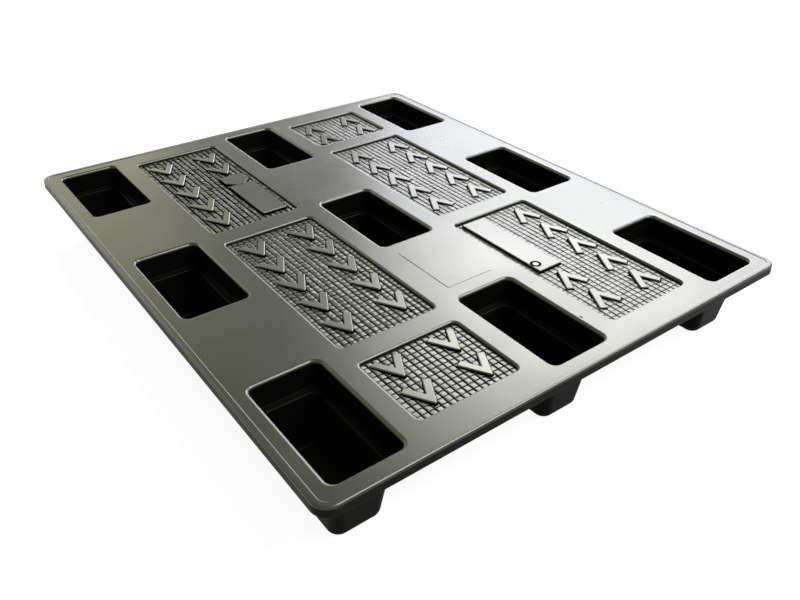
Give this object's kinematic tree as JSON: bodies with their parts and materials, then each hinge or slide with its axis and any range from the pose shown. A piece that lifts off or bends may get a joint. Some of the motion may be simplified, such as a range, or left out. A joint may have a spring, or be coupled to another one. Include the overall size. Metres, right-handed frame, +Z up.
{
  "type": "nestable plastic pallet",
  "caption": "Nestable plastic pallet: flat deck with recessed waffle panels and raised chevrons, a raised border, a turned-down skirt, and tapered hollow feet open from above.",
  "frame": {"origin": "middle of the footprint, on the surface that the feet stand on", "axes": "+X along the longer side, +Y along the shorter side, +Z up through the deck"},
  "size_m": [1.219, 1.016, 0.145],
  "materials": {
    "black_plastic": "satin black moulded polyethylene, with a soft sheen on the deck and fine scuffs"
  },
  "bodies": {
    "root": {"pallet": "black_plastic"}
  },
  "joints": []
}
